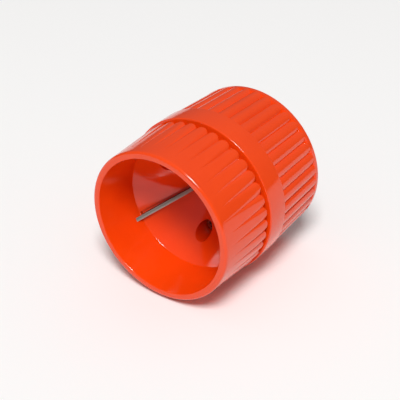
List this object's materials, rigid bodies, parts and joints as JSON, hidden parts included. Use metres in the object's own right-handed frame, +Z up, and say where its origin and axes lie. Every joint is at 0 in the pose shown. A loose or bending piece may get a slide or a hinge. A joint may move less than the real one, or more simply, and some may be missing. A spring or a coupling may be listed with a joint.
{
  "type": "pipe deburring tool",
  "caption": "Ribbed round hand tool with a cup and cone of flat blades that deburr a cut pipe outside and inside.",
  "frame": {"origin": "on the surface the tool lies on, under the middle of its length", "axes": "+Z up, -Y out of the cup that takes a pipe from outside, the tool's axis along Y"},
  "size_m": [0.052, 0.0514, 0.052],
  "materials": {
    "shell_plastic": "glossy injection-moulded orange-red plastic",
    "blade_steel": "ground hardened steel",
    "screw_steel": "zinc-plated steel"
  },
  "bodies": {
    "root": {"front_shell": "shell_plastic", "rear_shell": "shell_plastic", "blade_1": "blade_steel", "blade_2": "blade_steel", "blade_3": "blade_steel", "screw_1": "screw_steel", "screw_2": "screw_steel", "screw_3": "screw_steel"}
  },
  "joints": []
}
